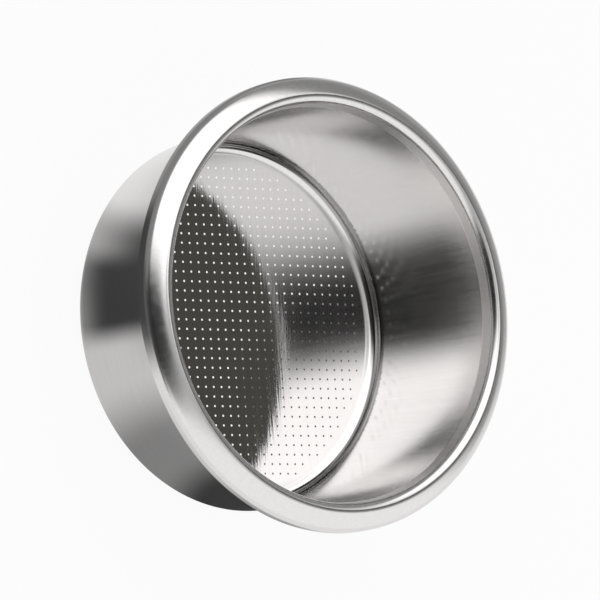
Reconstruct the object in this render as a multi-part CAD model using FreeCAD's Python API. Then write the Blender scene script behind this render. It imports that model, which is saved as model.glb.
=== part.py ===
"""Espresso filter basket: one cup drawn from stainless sheet, with a perforated floor.

Millimetres, +Z along the cup's axis with the mouth up, origin at the middle of the
underside. The cup stands on its flat floor. One section of the sheet is drawn from the
perforated field out to the cut edge of the rim and turned about the axis.
"""
import FreeCAD
import Part
import math
import os

# Driving sizes of the cup
sheet = 0.5                 # thickness of the drawn sheet
overall_height = 28.3       # underside of the floor to the top of the rim
mouth_radius = 30.4         # inside of the wall, where the lead-in starts
wall_taper_deg = 3.9        # the wall narrows downwards by this angle
corner_radius = 2.0         # inside fillet between the floor and the wall

# Driving sizes of the rim
lead_in_depth = 2.6         # height of the lead-in below the top of the rim
lead_in_deg = 12.0          # the lead-in leans out from the axis by this angle
crest_radius = 1.2          # bend at the top of the rim
flange_slope_deg = 34.0     # the flange falls away outwards by this angle
rim_radius = 35.0           # outermost edge of the rim
edge_radius = 1.85          # bend from the flange into the lip
lip_depth = 1.0             # straight lip below the bend, down to the cut edge

# Driving sizes of the perforation
hole_diameter = 0.35
hole_pitch = 4.5            # every third hole, each way, of the real grid of 1.5 mm
hole_clearance = 0.05       # least solid between the outermost hole and the plain ring
plain_ring = 0.05           # flat of the floor between the perforated field and the fillet
hole_sides = 6

# Chords that stand for the bends of the section, on the side with the larger radius
corner_chords = 4
crest_chords = 3            # from the lead-in up to the top
edge_chords = 3

AXIS = FreeCAD.Vector(0, 0, 1)


def point(radius, height):
    """A point of the section, which lies in the XZ plane."""
    return FreeCAD.Vector(radius, 0, height)


def direction(angle_deg):
    """A unit vector of the section, at an angle above the outward direction."""
    angle = math.radians(angle_deg)
    return point(math.cos(angle), math.sin(angle))


def arc_points(centre, radius, start_deg, end_deg, chords):
    """Points round an arc of the section, from its start to its end."""
    step = (end_deg - start_deg) / chords
    return [centre + direction(start_deg + step * index) * radius for index in range(chords + 1)]


def mouth():
    """The crease on the inside where the wall meets the lead-in."""
    return point(mouth_radius, overall_height - lead_in_depth)


def corner_centre():
    """The centre of the corner bend, whose fillet touches the floor and the tapered wall."""
    taper = math.radians(wall_taper_deg)
    height = sheet + corner_radius
    wall_radius = mouth_radius - (mouth().z - height) * math.tan(taper)
    return point(wall_radius - corner_radius / math.cos(taper), height)


def crest_centre():
    """The centre of the bend that touches the lead-in and reaches the overall height."""
    lean = math.radians(lead_in_deg)
    reach = crest_radius * (1 - math.sin(lean)) + lead_in_depth * math.sin(lean)
    return point(mouth_radius + reach / math.cos(lean), overall_height - crest_radius)


def edge_centre():
    """The centre of the bend that touches the flange and the outermost edge."""
    slope = math.radians(flange_slope_deg)
    run = rim_radius - edge_radius - crest_centre().x
    drop = run * math.tan(slope) + (edge_radius - crest_radius) / math.cos(slope)
    return point(rim_radius - edge_radius, crest_centre().z - drop)


def field_radius():
    """Radius of the perforated field of the floor."""
    return corner_centre().x - plain_ring


def sheet_side(depth, top_chords, rim_chords):
    """Points of one side of the sheet: depth 0 is the side that faces out of the mouth."""
    bend_deg = lead_in_deg - wall_taper_deg
    crease = direction(-(wall_taper_deg + lead_in_deg) / 2) * (depth / math.cos(math.radians(bend_deg / 2)))
    flange_deg = 90 - flange_slope_deg
    corner = arc_points(corner_centre(), corner_radius + depth, -90, -wall_taper_deg, corner_chords)
    crest = arc_points(crest_centre(), crest_radius - depth, 180 - lead_in_deg, 90, top_chords)
    shoulder = crest_centre() + direction(flange_deg) * (crest_radius - depth)
    edge = arc_points(edge_centre(), edge_radius - depth, flange_deg, 0, rim_chords)
    floor = point(field_radius(), sheet - depth)
    lip = point(rim_radius - depth, edge_centre().z - lip_depth)
    return [floor] + corner + [mouth() + crease] + crest + [shoulder] + edge + [lip]


def cup():
    """Everything outside the perforated field: the fillet, the wall and the rim."""
    shown = sheet_side(0, crest_chords, edge_chords)
    hidden = sheet_side(sheet, 1, 1)
    outline = Part.makePolygon(shown + hidden[::-1] + shown[:1])
    return Part.Face(outline).revolve(FreeCAD.Vector(0, 0, 0), AXIS, 360)


def hole_places():
    """The middles of the holes: a square grid that has no hole at the cup's axis."""
    reach = field_radius() - hole_clearance - hole_diameter / 2
    count = math.ceil(reach / hole_pitch)
    steps = [(index + 0.5) * hole_pitch for index in range(-count, count)]
    return [(x, y) for x in steps for y in steps if math.hypot(x, y) <= reach]


def hole_outline(x, y):
    """The edge of one hole on the underside, with few sides because the holes are many."""
    corners = []
    for side in range(hole_sides + 1):
        angle = 2 * math.pi * side / hole_sides
        corners.append(FreeCAD.Vector(x + hole_diameter / 2 * math.cos(angle),
                                      y + hole_diameter / 2 * math.sin(angle), 0))
    return Part.makePolygon(corners)


def perforated_field():
    """The round middle of the floor with its holes."""
    border = Part.Wire(Part.makeCircle(field_radius()))
    outlines = [border] + [hole_outline(x, y) for x, y in hole_places()]
    return Part.Face(outlines, "Part::FaceMakerBullseye").extrude(AXIS * sheet)


def filter_basket():
    return cup().fuse(perforated_field()).removeSplitter().Solids[0]


basket = filter_basket()
os.makedirs("parts", exist_ok=True)
basket.exportStep("parts/filter_basket.step")
print("holes", len(hole_places()), "volume mm3", round(basket.Volume, 1), "valid", basket.isValid())
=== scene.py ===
"""Espresso filter basket: a cup drawn from stainless sheet, with a finely perforated floor.

The whole cup is one turned sheet of even thickness whose flat floor carries the holes. It
stands in for the plain solid of the frame, in the same place and with the same section.
"""
import bpy
import bmesh
import math
from mathutils import Matrix, Vector
from mathutils.geometry import delaunay_2d_cdt


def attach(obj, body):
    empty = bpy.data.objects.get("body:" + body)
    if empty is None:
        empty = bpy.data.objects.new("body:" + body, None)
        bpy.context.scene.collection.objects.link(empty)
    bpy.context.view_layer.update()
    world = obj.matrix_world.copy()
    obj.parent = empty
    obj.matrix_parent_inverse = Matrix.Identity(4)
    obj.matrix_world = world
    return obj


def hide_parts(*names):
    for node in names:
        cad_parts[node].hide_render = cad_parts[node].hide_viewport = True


MM = 0.001
PER_METRE = 1000.0          # millimetres
WHITE = (1, 1, 1, 1)

# Section of the sheet, in millimetres and degrees
SHEET = 0.5
HEIGHT = 28.3
MOUTH_RADIUS = 30.4
WALL_TAPER = 3.9
CORNER_RADIUS = 2.0
LEAD_IN_DEPTH = 2.6
LEAD_IN_LEAN = 12.0
CREST_BEND = 1.2            # from the lead-in over the top of the rim
FLANGE_BEND = 8.15          # the crown of the flange, almost straight
EDGE_BEND = 1.81            # from the flange into the lip
CREST_END = 66.0            # angles at which one bend passes into the next
FLANGE_END = 50.0
LIP_END = 24.5              # height of the cut edge
BURR = 0.12                 # small round on both corners of the cut edge
SUPPORT = 0.12              # loops that hold the straight stretches straight beside a bend
NEAR_END = 0.3              # the largest share of a short stretch that such a loop cuts off

# Facets along each bend of the section
CORNER_STEPS = 14
CREST_STEPS = (8, 4)        # up to the top of the rim, and beyond it
FLANGE_STEPS = 8
EDGE_STEPS = 10
BURR_STEPS = 3

# Perforation: a square grid whose middle falls between four holes
HOLE_RADIUS = 0.175         # on the side of the coffee
HOLE_MOUTH = 0.43           # on the underside: the holes widen downwards
HOLE_PITCH = 1.5
FIELD_LIMIT = 17.3          # in pitches, from the axis to the outermost hole
HOLE_SIDES = 12
FIELD_RADIUS = 26.76        # the flat round that carries the holes

TURNS = 256                 # facets round the axis
SHARP_ANGLE = 28            # edges that turn by more than this stay sharp
MERGE = 0.002 * MM          # points closer than this are one

# Finishes, in the order of the piece's material slots
FINISHES = ["floor", "corner", "wall", "lead-in", "rim", "outside", "hole"]


# Section of the sheet
def at(centre, radius, angle):
    """A point of the section, at an angle in degrees above the outward direction."""
    turn = math.radians(angle)
    return (centre[0] + radius * math.cos(turn), centre[1] + radius * math.sin(turn))


def bend(centre, radius, start, end, steps):
    """Points along a bend of the section."""
    return [at(centre, radius, start + (end - start) * i / steps) for i in range(steps + 1)]


def straight(start, end):
    """Two points close to the ends of a straight stretch, so it shades as straight."""
    run = math.dist(start, end)
    near = min(SUPPORT / run, NEAR_END)
    return [tuple(a + (b - a) * share for a, b in zip(start, end)) for share in (near, 1 - near)]


def corner_centre():
    height = SHEET + CORNER_RADIUS
    taper = math.radians(WALL_TAPER)
    wall = MOUTH_RADIUS - (HEIGHT - LEAD_IN_DEPTH - height) * math.tan(taper)
    return (wall - CORNER_RADIUS / math.cos(taper), height)


def crest_centre():
    lean = math.radians(LEAD_IN_LEAN)
    reach = CREST_BEND * (1 - math.sin(lean)) + LEAD_IN_DEPTH * math.sin(lean)
    return (MOUTH_RADIUS + reach / math.cos(lean), HEIGHT - CREST_BEND)


def crease(depth):
    """The bend between the wall and the lead-in, on the side at this depth in the sheet."""
    half = math.radians((LEAD_IN_LEAN - WALL_TAPER) / 2)
    middle = (MOUTH_RADIUS, HEIGHT - LEAD_IN_DEPTH)
    return at(middle, depth / math.cos(half), -(WALL_TAPER + LEAD_IN_LEAN) / 2)


def rim_bends(depth):
    """The rim from the lead-in to the top of the lip: three bends that pass into each other."""
    crest = crest_centre()
    flange = at(crest, CREST_BEND - FLANGE_BEND, CREST_END)
    edge = at(flange, FLANGE_BEND - EDGE_BEND, FLANGE_END)
    up = bend(crest, CREST_BEND - depth, 180 - LEAD_IN_LEAN, 90, CREST_STEPS[0])
    over = bend(crest, CREST_BEND - depth, 90, CREST_END, CREST_STEPS[1])[1:]
    crown = bend(flange, FLANGE_BEND - depth, CREST_END, FLANGE_END, FLANGE_STEPS)[1:]
    down = bend(edge, EDGE_BEND - depth, FLANGE_END, 0, EDGE_STEPS)[1:]
    return up + over + crown + down


def side(depth):
    """One side of the sheet, from the perforated field to the cut edge, with its finishes."""
    outer = depth > 0
    corner = bend(corner_centre(), CORNER_RADIUS + depth, -90, -WALL_TAPER, CORNER_STEPS)
    turn = crease(depth)
    rim = rim_bends(depth)
    lip = (rim[-1][0], LIP_END + BURR)
    stretches = [
        ("outside" if outer else "corner", [(FIELD_RADIUS, SHEET - depth)] + corner),
        ("outside" if outer else "wall", straight(corner[-1], turn) + [turn]),
        ("rim" if outer else "lead-in", straight(turn, rim[0])),
        ("rim", rim),
        ("rim", straight(rim[-1], lip) + [lip]),
    ]
    return [(point, finish) for finish, points in stretches for point in points]


def section():
    """The closed outline of the sheet outside the field: shown side, cut edge, hidden side."""
    shown = side(0)
    hidden = side(SHEET)[::-1]
    out, low = shown[-1][0]
    outer = bend((out - BURR, low), BURR, 0, -90, BURR_STEPS)[1:]
    inner = bend((out - SHEET + BURR, low), BURR, -90, -180, BURR_STEPS)[:-1]
    return shown + [(point, "rim") for point in outer + inner] + hidden


# Mesh of the cup
def ring(mesh, radius, height):
    """A ring of vertices round the axis."""
    made = []
    for i in range(TURNS):
        turn = 2 * math.pi * i / TURNS
        x, y = radius * math.cos(turn), radius * math.sin(turn)
        made.append(mesh.verts.new((x * MM, y * MM, height * MM)))
    return made


def turn_sheet(mesh):
    """The fillet, the wall and the rim, turned from the section."""
    outline = section()
    rings = [ring(mesh, *point) for point, _ in outline]
    for i in range(len(rings) - 1):
        finish = FINISHES.index(outline[i + 1][1])
        for j in range(TURNS):
            k = (j + 1) % TURNS
            face = mesh.faces.new((rings[i][j], rings[i][k], rings[i + 1][k], rings[i + 1][j]))
            face.material_index = finish


def hole_middles():
    count = math.ceil(FIELD_LIMIT)
    steps = [i + 0.5 for i in range(-count, count)]
    inside = [(x, y) for x in steps for y in steps if math.hypot(x, y) <= FIELD_LIMIT]
    return [(x * HOLE_PITCH, y * HOLE_PITCH) for x, y in inside]


def circle(middle, radius, sides, first=0.0):
    """Corners of a circle; the first one lies this share of a facet from the x direction."""
    turns = [2 * math.pi * (i + first) / sides for i in range(sides)]
    return [Vector((middle[0] + radius * math.cos(t), middle[1] + radius * math.sin(t))) for t in turns]


def pierced_disc(mesh, height, hole_radius, finish, facing_down):
    """One flat side of the perforated field, and the rings of vertices round its holes."""
    holes = [circle(middle, hole_radius, HOLE_SIDES, 0.5) for middle in hole_middles()]
    loops = [circle((0, 0), FIELD_RADIUS, TURNS)] + holes
    points = [point for loop in loops for point in loop]
    outlines = []
    for loop in loops:
        first = outlines[-1][-1] + 1 if outlines else 0
        outlines.append(list(range(first, first + len(loop))))
    flat, _, tiles, came_from, _, owners = delaunay_2d_cdt(points, [], outlines, 1, 1e-6)
    verts = [mesh.verts.new((p[0] * MM, p[1] * MM, height * MM)) for p in flat]
    for tile, owner in zip(tiles, owners):
        if owner == [0]:
            corners = [verts[i] for i in tile]
            face = mesh.faces.new(corners[::-1] if facing_down else corners)
            face.material_index = FINISHES.index(finish)
    place = {old: verts[new] for new, olds in enumerate(came_from) for old in olds}
    return [[place[i] for i in outline] for outline in outlines[1:]]


def perforated_field(mesh):
    """The flat round of the floor, both sides, and the sloping walls of its holes."""
    tops = pierced_disc(mesh, SHEET, HOLE_RADIUS, "floor", False)
    lows = pierced_disc(mesh, 0, HOLE_MOUTH, "outside", True)
    for top, low in zip(tops, lows):
        for i in range(HOLE_SIDES):
            j = (i + 1) % HOLE_SIDES
            face = mesh.faces.new((top[i], top[j], low[j], low[i]))
            face.material_index = FINISHES.index("hole")


def keep_edges_sharp(mesh):
    limit = math.radians(SHARP_ANGLE)
    for edge in mesh.edges:
        edge.smooth = edge.is_manifold and edge.calc_face_angle(0) < limit
    for face in mesh.faces:
        face.smooth = True


def make_basket(materials):
    mesh = bmesh.new()
    turn_sheet(mesh)
    perforated_field(mesh)
    bmesh.ops.remove_doubles(mesh, verts=mesh.verts, dist=MERGE)
    bmesh.ops.recalc_face_normals(mesh, faces=mesh.faces)
    keep_edges_sharp(mesh)
    data = bpy.data.meshes.new("drawn_basket")
    mesh.to_mesh(data)
    mesh.free()
    for finish in FINISHES:
        data.materials.append(materials[finish])
    basket = bpy.data.objects.new("drawn_basket", data)
    bpy.context.scene.collection.objects.link(basket)
    return basket


# Node helpers
class Nodes:
    """Adds nodes to a tree and links them in one call each."""

    def __init__(self, tree):
        self.tree = tree

    def add(self, kind, **settings):
        node = self.tree.nodes.new(kind)
        for name, value in settings.items():
            setattr(node, name, value)
        return node

    def feed(self, socket, value):
        if isinstance(value, bpy.types.NodeSocket):
            self.tree.links.new(value, socket)
        else:
            socket.default_value = value

    def math(self, operation, *values):
        node = self.add("ShaderNodeMath", operation=operation)
        for socket, value in zip(node.inputs, values):
            self.feed(socket, value)
        return node.outputs[0]

    def split(self, vector):
        node = self.add("ShaderNodeSeparateXYZ")
        self.feed(node.inputs[0], vector)
        return node.outputs

    def join(self, x, y, z):
        node = self.add("ShaderNodeCombineXYZ")
        for socket, value in zip(node.inputs, (x, y, z)):
            self.feed(socket, value)
        return node.outputs[0]

    def spread(self, value, low, high, to_low=0.0, to_high=1.0, smooth=True):
        node = self.add("ShaderNodeMapRange", interpolation_type="SMOOTHSTEP" if smooth else "LINEAR")
        for name, given in zip(("Value", "From Min", "From Max", "To Min", "To Max"),
                               (value, low, high, to_low, to_high)):
            self.feed(node.inputs[name], given)
        return node.outputs[0]

    def mix(self, factor, a, b):
        """Mixes two colours; the numbers are the places of the colour sockets."""
        node = self.add("ShaderNodeMix", data_type="RGBA")
        self.feed(node.inputs[0], factor)
        self.feed(node.inputs[6], a)
        self.feed(node.inputs[7], b)
        return node.outputs[2]

    def noise(self, vector, scale=1.0, detail=3.0, roughness=0.55):
        node = self.add("ShaderNodeTexNoise")
        self.feed(node.inputs["Vector"], vector)
        self.feed(node.inputs["Scale"], scale)
        self.feed(node.inputs["Detail"], detail)
        self.feed(node.inputs["Roughness"], roughness)
        return node.outputs["Fac"]


def new_group(name, inputs, outputs):
    """A shader node group with float inputs, as name: default, and its named outputs."""
    tree = bpy.data.node_groups.new(name, "ShaderNodeTree")
    for label, value in inputs.items():
        made = tree.interface.new_socket(label, in_out="INPUT", socket_type="NodeSocketFloat")
        made.default_value = value
    for label, kind in outputs.items():
        tree.interface.new_socket(label, in_out="OUTPUT", socket_type=kind)
    nodes = Nodes(tree)
    return tree, nodes, nodes.add("NodeGroupInput").outputs, nodes.add("NodeGroupOutput").inputs


# Finishes of the steel
STEEL = (0.785, 0.772, 0.767)
# painted light: a lighter copy of the steel, so the lead-in band reads brighter
LEAD_STEEL_PAINTED_LIGHT = (0.86, 0.846, 0.841)
# the hole walls: a rougher punched finish, and painted light, lighter than the steel so the holes show as
# bright dots
HOLE_STEEL_PAINTED_LIGHT = (0.9, 0.89, 0.87)
DARK_GRAIN, LIGHT_GRAIN = 0.94, 1.06    # what the grain does to the colour
EVEN_GRAIN = (0.3, 0.7)     # levels of the streaks that give the lowest and highest roughness
GRAIN_RADIUS = 30.0         # mm, where the turned grain has its stated width
DULL_TOP_SPAN = (0.0195, 0.026)         # metres, the heights over which the wall grows duller

# Painted shade: a dark band at the corner bend, in mm above the underside, with a ragged top that follows
# the brushing of the wall
BAND_FOOT = 1.05
BAND_TOP = 2.5
BAND_SHADE = 0.46
RAGGED_REACH = 0.6          # how far single strokes run up the wall
STROKES = (0.3, 0.75)       # levels of the grain that give no stroke and a full one
FOOT_EDGE = (-0.08, 0.12)   # how softly the band begins and ends, in mm
TOP_EDGE = (-0.1, 0.25)


def linear_grain():
    """Rolling grain of flat sheet: fine lines along Y with broader streaks among them."""
    tree, nodes, given, out = new_group(
        "rolling grain",
        {"Line width mm": 0.3, "Line length mm": 8.0, "Streak width mm": 1.4, "Streak length mm": 12.0},
        {"Lines": "NodeSocketFloat", "Streaks": "NodeSocketFloat"})
    place = nodes.split(nodes.add("ShaderNodeTexCoord").outputs["Object"])

    def along(width, length):
        x = nodes.math("DIVIDE", nodes.math("MULTIPLY", place[0], PER_METRE), width)
        y = nodes.math("DIVIDE", nodes.math("MULTIPLY", place[1], PER_METRE), length)
        return nodes.noise(nodes.join(x, y, 0.0))

    nodes.feed(out["Lines"], along(given["Line width mm"], given["Line length mm"]))
    nodes.feed(out["Streaks"], along(given["Streak width mm"], given["Streak length mm"]))
    return tree


def turned_grain():
    """Brushing on a turned surface: fine lines that run up the wall or round it."""
    tree, nodes, given, out = new_group(
        "turned grain",
        {"Round mm": 0.25, "Up mm": 9.0, "Broad round mm": 2.5, "Broad up mm": 14.0},
        {"Lines": "NodeSocketFloat", "Broad": "NodeSocketFloat"})
    place = nodes.split(nodes.add("ShaderNodeTexCoord").outputs["Object"])
    flat = nodes.join(place[0], place[1], 0.0)
    length = nodes.add("ShaderNodeVectorMath", operation="NORMALIZE")
    nodes.feed(length.inputs[0], flat)
    round_place = nodes.split(length.outputs[0])

    def along(around, upward):
        x = nodes.math("DIVIDE", nodes.math("MULTIPLY", round_place[0], GRAIN_RADIUS), around)
        y = nodes.math("DIVIDE", nodes.math("MULTIPLY", round_place[1], GRAIN_RADIUS), around)
        z = nodes.math("DIVIDE", nodes.math("MULTIPLY", place[2], PER_METRE), upward)
        return nodes.noise(nodes.join(x, y, z))

    nodes.feed(out["Lines"], along(given["Round mm"], given["Up mm"]))
    nodes.feed(out["Broad"], along(given["Broad round mm"], given["Broad up mm"]))
    return tree


def painted_shade_share(nodes, lines):
    """Share of painted shade in the band between the bright corner and the ragged foot of the wall."""
    height = nodes.split(nodes.add("ShaderNodeTexCoord").outputs["Object"])[2]
    height = nodes.math("MULTIPLY", height, PER_METRE)
    ragged = nodes.spread(lines, *STROKES, 0.0, RAGGED_REACH, smooth=False)
    above = nodes.math("SUBTRACT", height, ragged)
    rise = nodes.spread(height, BAND_FOOT + FOOT_EDGE[0], BAND_FOOT + FOOT_EDGE[1])
    fall = nodes.spread(above, BAND_TOP + TOP_EDGE[0], BAND_TOP + TOP_EDGE[1], 1.0, 0.0)
    return nodes.math("MULTIPLY", rise, fall)


def steel(name, grain, sizes, fine, broad, colour, roughness, bump, anisotropy=0.0, with_painted_shade=False,
          dull_top=0.0):
    """A steel finish: the grain tints the colour a little, varies the roughness and ripples it.

    sizes are the grain's four widths and lengths, fine and broad the shares of its lines and
    streaks in the ripple, roughness the least and the most, and bump the ripple's depth in mm.
    """
    material = bpy.data.materials.new(name)
    material.use_nodes = True
    material.node_tree.nodes.clear()
    nodes = Nodes(material.node_tree)
    shader = nodes.add("ShaderNodeBsdfPrincipled")
    shader.inputs["Metallic"].default_value = 1.0
    placed = nodes.add("ShaderNodeGroup")
    placed.node_tree = grain
    for label, size in zip(list(placed.inputs.keys()), sizes):
        placed.inputs[label].default_value = size
    lines, streaks = placed.outputs[0], placed.outputs[1]
    dark = (*[c * DARK_GRAIN for c in colour], 1)
    light = (*[min(c * LIGHT_GRAIN, 1) for c in colour], 1)
    tint = nodes.mix(lines, dark, light)
    # painted shade: a dark band in the crease at the foot of the wall
    if with_painted_shade:
        painted_shade_colour = tuple(c * BAND_SHADE for c in colour)
        tint = nodes.mix(painted_shade_share(nodes, lines), tint, (*painted_shade_colour, 1))
    nodes.feed(shader.inputs["Base Color"], tint)
    rough = nodes.spread(streaks, *EVEN_GRAIN, *roughness, smooth=False)
    if dull_top:
        height = nodes.split(nodes.add("ShaderNodeTexCoord").outputs["Object"])[2]
        rough = nodes.math("ADD", rough, nodes.spread(height, *DULL_TOP_SPAN, 0.0, dull_top))
    nodes.feed(shader.inputs["Roughness"], rough)
    ripple = nodes.math("ADD", nodes.math("MULTIPLY", lines, fine), nodes.math("MULTIPLY", streaks, broad))
    raised = nodes.add("ShaderNodeBump")
    raised.inputs["Distance"].default_value = bump * MM
    nodes.feed(raised.inputs["Height"], ripple)
    nodes.feed(shader.inputs["Normal"], raised.outputs[0])
    shader.inputs["Anisotropic"].default_value = anisotropy
    if anisotropy:
        round_axis = nodes.add("ShaderNodeTangent", direction_type="RADIAL", axis="Z")
        nodes.feed(shader.inputs["Tangent"], round_axis.outputs[0])
    end = nodes.add("ShaderNodeOutputMaterial")
    nodes.feed(end.inputs["Surface"], shader.outputs[0])
    return material


def make_finishes():
    flat = linear_grain()
    turned = turned_grain()
    return {
        "floor": steel("rolled floor", flat, (0.35, 9.0, 1.6, 14.0), 0.5, 1.0, STEEL,
                       (0.05, 0.10), 0.010),
        "corner": steel("drawn corner", turned, (0.6, 3.0, 3.0, 6.0), 0.3, 1.0, STEEL,
                        (0.08, 0.12), 0.003, with_painted_shade=True),
        "wall": steel("satin wall", turned, (0.16, 12.0, 0.5, 18.0), 1.0, 0.3, STEEL,
                      (0.15, 0.20), 0.0010, anisotropy=0.2, with_painted_shade=True, dull_top=0.06),
        "lead-in": steel("satin lead-in", turned, (0.3, 0.3, 0.8, 0.8), 0.6, 0.6, LEAD_STEEL_PAINTED_LIGHT,
                         (0.32, 0.36), 0.0013),
        "rim": steel("polished rim", turned, (0.3, 0.3, 0.8, 0.8), 0.6, 0.6, STEEL,
                     (0.16, 0.22), 0.002),
        "outside": steel("satin outside", turned, (5.0, 0.20, 8.0, 0.6), 1.0, 0.3, STEEL,
                         (0.14, 0.18), 0.001),
        "hole": steel("punched hole", turned, (0.1, 0.1, 0.2, 0.2), 1.0, 1.0, HOLE_STEEL_PAINTED_LIGHT,
                      (0.5, 0.6), 0.002),
    }


# Stage, light and camera
# Round soft lights and dark flags on the walls of the studio, for the steel to mirror:
# azimuth, elevation, half angle, soft edge, brightness. Later ones stand before earlier ones.
ROOM = 0.26
LIGHTS = {
    "ceiling": (0, 90, 32, 8, 0.46),
    "fill": (-82, 0, 68, 10, 1.0),
    "key": (101, 53, 39, 7, 1.55),
    "key side": (38, 50, 10, 7, 1.1),
    "top": (0, 90, 14, 6, 0.5),
    "flag low": (-172, 4, 22, 6, 0.07),
    "flag middle": (-176, 27, 20, 8, 0.05),
    "flag high": (-177, 44, 22, 12, 0.02),
    "flag top": (-178, 60, 14, 9, 0.03),
    "floor flag": (11, 52, 9, 2, (0.070, 0.0665, 0.060)),
}

# The floor
FLOOR_SIZE = 6              # metres
PAPER = (0.9, 0.9, 0.9, 1)
FLOOR_WHITE = 0.93          # share of plain white that the floor shows
CARD_GROUND = (0.92, 0.92, 0.92, 1)     # what the steel mirrors where no card lies

# The shadow under the cup, which shows through the holes: the same numbers as a card's
SHADES = {
    "under the cup": (-30, 48, 19, 12, 4, 0.16),
    "round the cup": (180, 181, 3000, 2973, 0.5, 1.0),
}

# Cards that lie round the basket and show only in the steel, with painted light and a painted shadow under
# the cup
# for the holes to mirror: azimuth, half width, distance from the axis in mm, half depth, soft edge of
# both, brightness
CARDS = {
    "pale sheet": (180, 181, 0, 46, 6, 0.68),
    "bright edge": (112, 30, 0, 36, 6, 0.92),
    "far dark": (112, 48, 3000, 2955, 8, 0.22),
    "side dark": (176, 20, 3000, 2955, 9, 0.07),
    "near dark": (172, 14, 59, 29.2, 5, 0.015),
    "near side": (157, 15, 60, 27.0, 9, 0.02),
    "front grey": (240, 26, 0, 48, 12, 0.25),
    "front dark": (265, 18, 0, 48, 9, 0.02),
    "far grey": (40, 45, 3000, 2888, 14, 0.36),
    # painted light: a glow on the floor under the cup, which the holes mirror as bright dots
    "painted light under the holes": (180, 181, 0, 27, 1, 1.15),
    # painted shadow under the cup, as the walls of the holes mirror it
    "under the cup": (-38, 50, 16, 11.5, 5, 0.10),
}


def mask_group(name, inputs):
    """A shader node group that gives one mask, with its inputs as label: socket type."""
    tree = bpy.data.node_groups.new(name, "ShaderNodeTree")
    for label, kind in inputs.items():
        tree.interface.new_socket(label, in_out="INPUT", socket_type=kind)
    tree.interface.new_socket("Mask", in_out="OUTPUT", socket_type="NodeSocketFloat")
    nodes = Nodes(tree)
    return tree, nodes, nodes.add("NodeGroupInput").outputs, nodes.add("NodeGroupOutput").inputs


def disc_group():
    """Mask of one round light, from a direction in the room and the way to its middle."""
    tree, nodes, given, out = mask_group("round light", {
        "Way": "NodeSocketVector", "Middle": "NodeSocketVector",
        "Half angle": "NodeSocketFloat", "Soft": "NodeSocketFloat"})
    dot = nodes.add("ShaderNodeVectorMath", operation="DOT_PRODUCT")
    nodes.feed(dot.inputs[0], given["Way"])
    nodes.feed(dot.inputs[1], given["Middle"])
    apart = nodes.math("DEGREES", nodes.math("ARCCOSINE", dot.outputs["Value"]))
    mask = nodes.spread(apart, nodes.math("ADD", given["Half angle"], given["Soft"]),
                        nodes.math("SUBTRACT", given["Half angle"], given["Soft"]))
    nodes.feed(out["Mask"], mask)
    return tree


def card_group():
    """Mask of one card on the floor, from an azimuth and a distance."""
    labels = ("Azimuth", "Distance", "Middle azimuth", "Half width", "Middle distance",
              "Half depth", "Soft")
    tree, nodes, given, out = mask_group("card", {label: "NodeSocketFloat" for label in labels})
    inner = nodes.math("MULTIPLY", given["Soft"], -1.0)
    turn = nodes.math("SUBTRACT", given["Azimuth"], given["Middle azimuth"])
    turn = nodes.math("WRAP", turn, 180.0, -180.0)
    aside = nodes.math("SUBTRACT", nodes.math("ABSOLUTE", turn), given["Half width"])
    apart = nodes.math("ABSOLUTE", nodes.math("SUBTRACT", given["Distance"], given["Middle distance"]))
    beyond = nodes.math("SUBTRACT", apart, given["Half depth"])
    across = nodes.spread(aside, given["Soft"], inner)
    along = nodes.spread(beyond, given["Soft"], inner)
    nodes.feed(out["Mask"], nodes.math("MULTIPLY", across, along))
    return tree


def laid_over(nodes, group, under, given, panels):
    """Lays panels over a brightness one by one, each with its own mask."""
    for sizes in panels.values():
        placed = nodes.add("ShaderNodeGroup")
        placed.node_tree = group
        for socket, value in zip(placed.inputs, (*given, *sizes[:-1])):
            nodes.feed(socket, value)
        bright = sizes[-1]
        colour = bright if isinstance(bright, tuple) else (bright, bright, bright)
        under = nodes.mix(placed.outputs[0], under, (*colour, 1))
    return under


def toward(azimuth, elevation):
    turn, rise = math.radians(azimuth), math.radians(elevation)
    return (math.cos(turn) * math.cos(rise), math.sin(turn) * math.cos(rise), math.sin(rise))


def make_room():
    """Soft studio light all round, with bright lights and dark flags for the steel to mirror."""
    world = bpy.data.worlds.new("studio")
    bpy.context.scene.world = world
    world.use_nodes = True
    world.node_tree.nodes.clear()
    nodes = Nodes(world.node_tree)
    way = nodes.add("ShaderNodeTexCoord").outputs["Generated"]
    panels = {name: (toward(*sizes[:2]), *sizes[2:]) for name, sizes in LIGHTS.items()}
    light = laid_over(nodes, disc_group(), (ROOM, ROOM, ROOM, 1), (way,), panels)
    seen = nodes.add("ShaderNodeLightPath").outputs["Is Camera Ray"]
    sky = nodes.add("ShaderNodeBackground")
    nodes.feed(sky.inputs["Color"], nodes.mix(seen, light, WHITE))
    end = nodes.add("ShaderNodeOutputWorld")
    nodes.feed(end.inputs["Surface"], sky.outputs[0])


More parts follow.
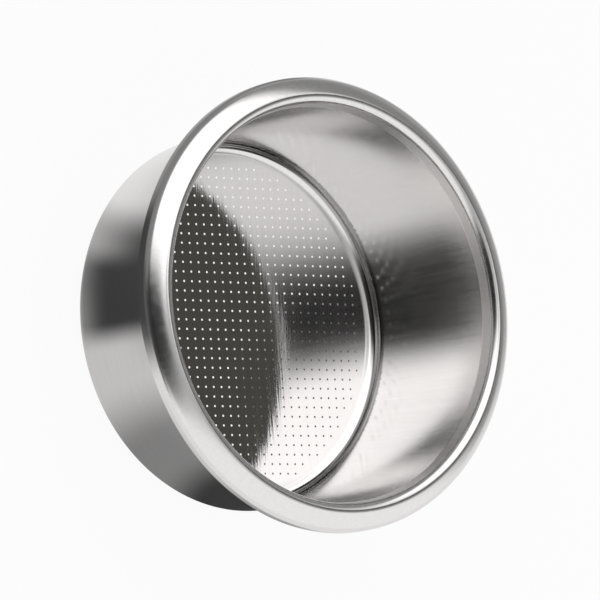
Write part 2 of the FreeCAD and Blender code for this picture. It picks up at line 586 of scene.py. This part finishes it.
def make_floor():
    """A pale floor that reads as white and keeps a soft shadow, with a painted shadow under the cup that
    shows through the holes, and cards for the steel.
    """
    bpy.ops.mesh.primitive_plane_add(size=FLOOR_SIZE, location=(0, 0, 0))
    floor = bpy.context.object
    floor.name = "floor"
    material = bpy.data.materials.new("pale floor")
    material.use_nodes = True
    material.node_tree.nodes.clear()
    nodes = Nodes(material.node_tree)
    paper = nodes.add("ShaderNodeBsdfDiffuse")
    paper.inputs["Color"].default_value = PAPER
    place = nodes.split(nodes.add("ShaderNodeTexCoord").outputs["Object"])
    azimuth = nodes.math("DEGREES", nodes.math("ARCTAN2", place[1], place[0]))
    squares = [nodes.math("POWER", value, 2.0) for value in (place[0], place[1])]
    away = nodes.math("SQRT", nodes.math("ADD", *squares))
    distance = nodes.math("DIVIDE", away, MM)
    card = card_group()
    # what the steel mirrors: the cards, with painted light and a painted shadow under the cup
    cards = laid_over(nodes, card, CARD_GROUND, (azimuth, distance), CARDS)
    # the plain white, with the painted shadow under the cup that shows through the holes
    plain = laid_over(nodes, card, WHITE, (azimuth, distance), SHADES)
    path = nodes.add("ShaderNodeLightPath").outputs
    mirrored = nodes.math("MAXIMUM", path["Is Glossy Ray"], path["Is Transmission Ray"])
    glow = nodes.add("ShaderNodeEmission")
    nodes.feed(glow.inputs["Color"], nodes.mix(mirrored, plain, cards))
    seen = nodes.math("MAXIMUM", path["Is Camera Ray"], mirrored)
    mixed = nodes.add("ShaderNodeMixShader")
    nodes.feed(mixed.inputs[0], nodes.math("MULTIPLY", seen, FLOOR_WHITE))
    nodes.feed(mixed.inputs[1], paper.outputs[0])
    nodes.feed(mixed.inputs[2], glow.outputs[0])
    end = nodes.add("ShaderNodeOutputMaterial")
    nodes.feed(end.inputs["Surface"], mixed.outputs[0])
    floor.data.materials.append(material)


# The camera, as fitted to the photograph
LENS = 331.853              # mm, on a sensor of 36 mm
AIM = (8.877, 3.247, 7.408)             # mm
CAMERA_WAY = (-169.053, 51.556)         # azimuth and elevation of the camera from there
CAMERA_DISTANCE = 862.960   # mm
CAMERA_ROLL = 77.802        # degrees


def make_camera():
    """The view of the photograph: from high on one side, with the camera turned on its side."""
    lens = bpy.data.cameras.new("camera")
    lens.sensor_width = 36
    lens.lens = LENS
    lens.clip_start = 0.05
    lens.clip_end = 20
    camera = bpy.data.objects.new("camera", lens)
    bpy.context.scene.collection.objects.link(camera)
    aim = Vector(AIM) * MM
    back = Vector(toward(*CAMERA_WAY))
    roll = Matrix.Rotation(math.radians(CAMERA_ROLL), 4, "Z")
    turn = (-back).to_track_quat("-Z", "Y").to_matrix().to_4x4() @ roll
    camera.matrix_world = Matrix.Translation(aim + back * CAMERA_DISTANCE * MM) @ turn
    bpy.context.scene.camera = camera


# The scene
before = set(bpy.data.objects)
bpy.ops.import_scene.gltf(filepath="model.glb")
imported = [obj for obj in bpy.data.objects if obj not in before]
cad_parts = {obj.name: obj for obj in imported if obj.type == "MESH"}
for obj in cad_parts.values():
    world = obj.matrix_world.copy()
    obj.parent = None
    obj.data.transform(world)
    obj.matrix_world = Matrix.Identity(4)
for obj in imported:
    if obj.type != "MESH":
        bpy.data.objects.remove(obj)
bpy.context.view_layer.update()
bpy.context.scene.view_settings.view_transform = "Standard"
make_camera()
make_room()
make_floor()
basket = make_basket(make_finishes())
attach(basket, "root")
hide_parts("filter_basket")
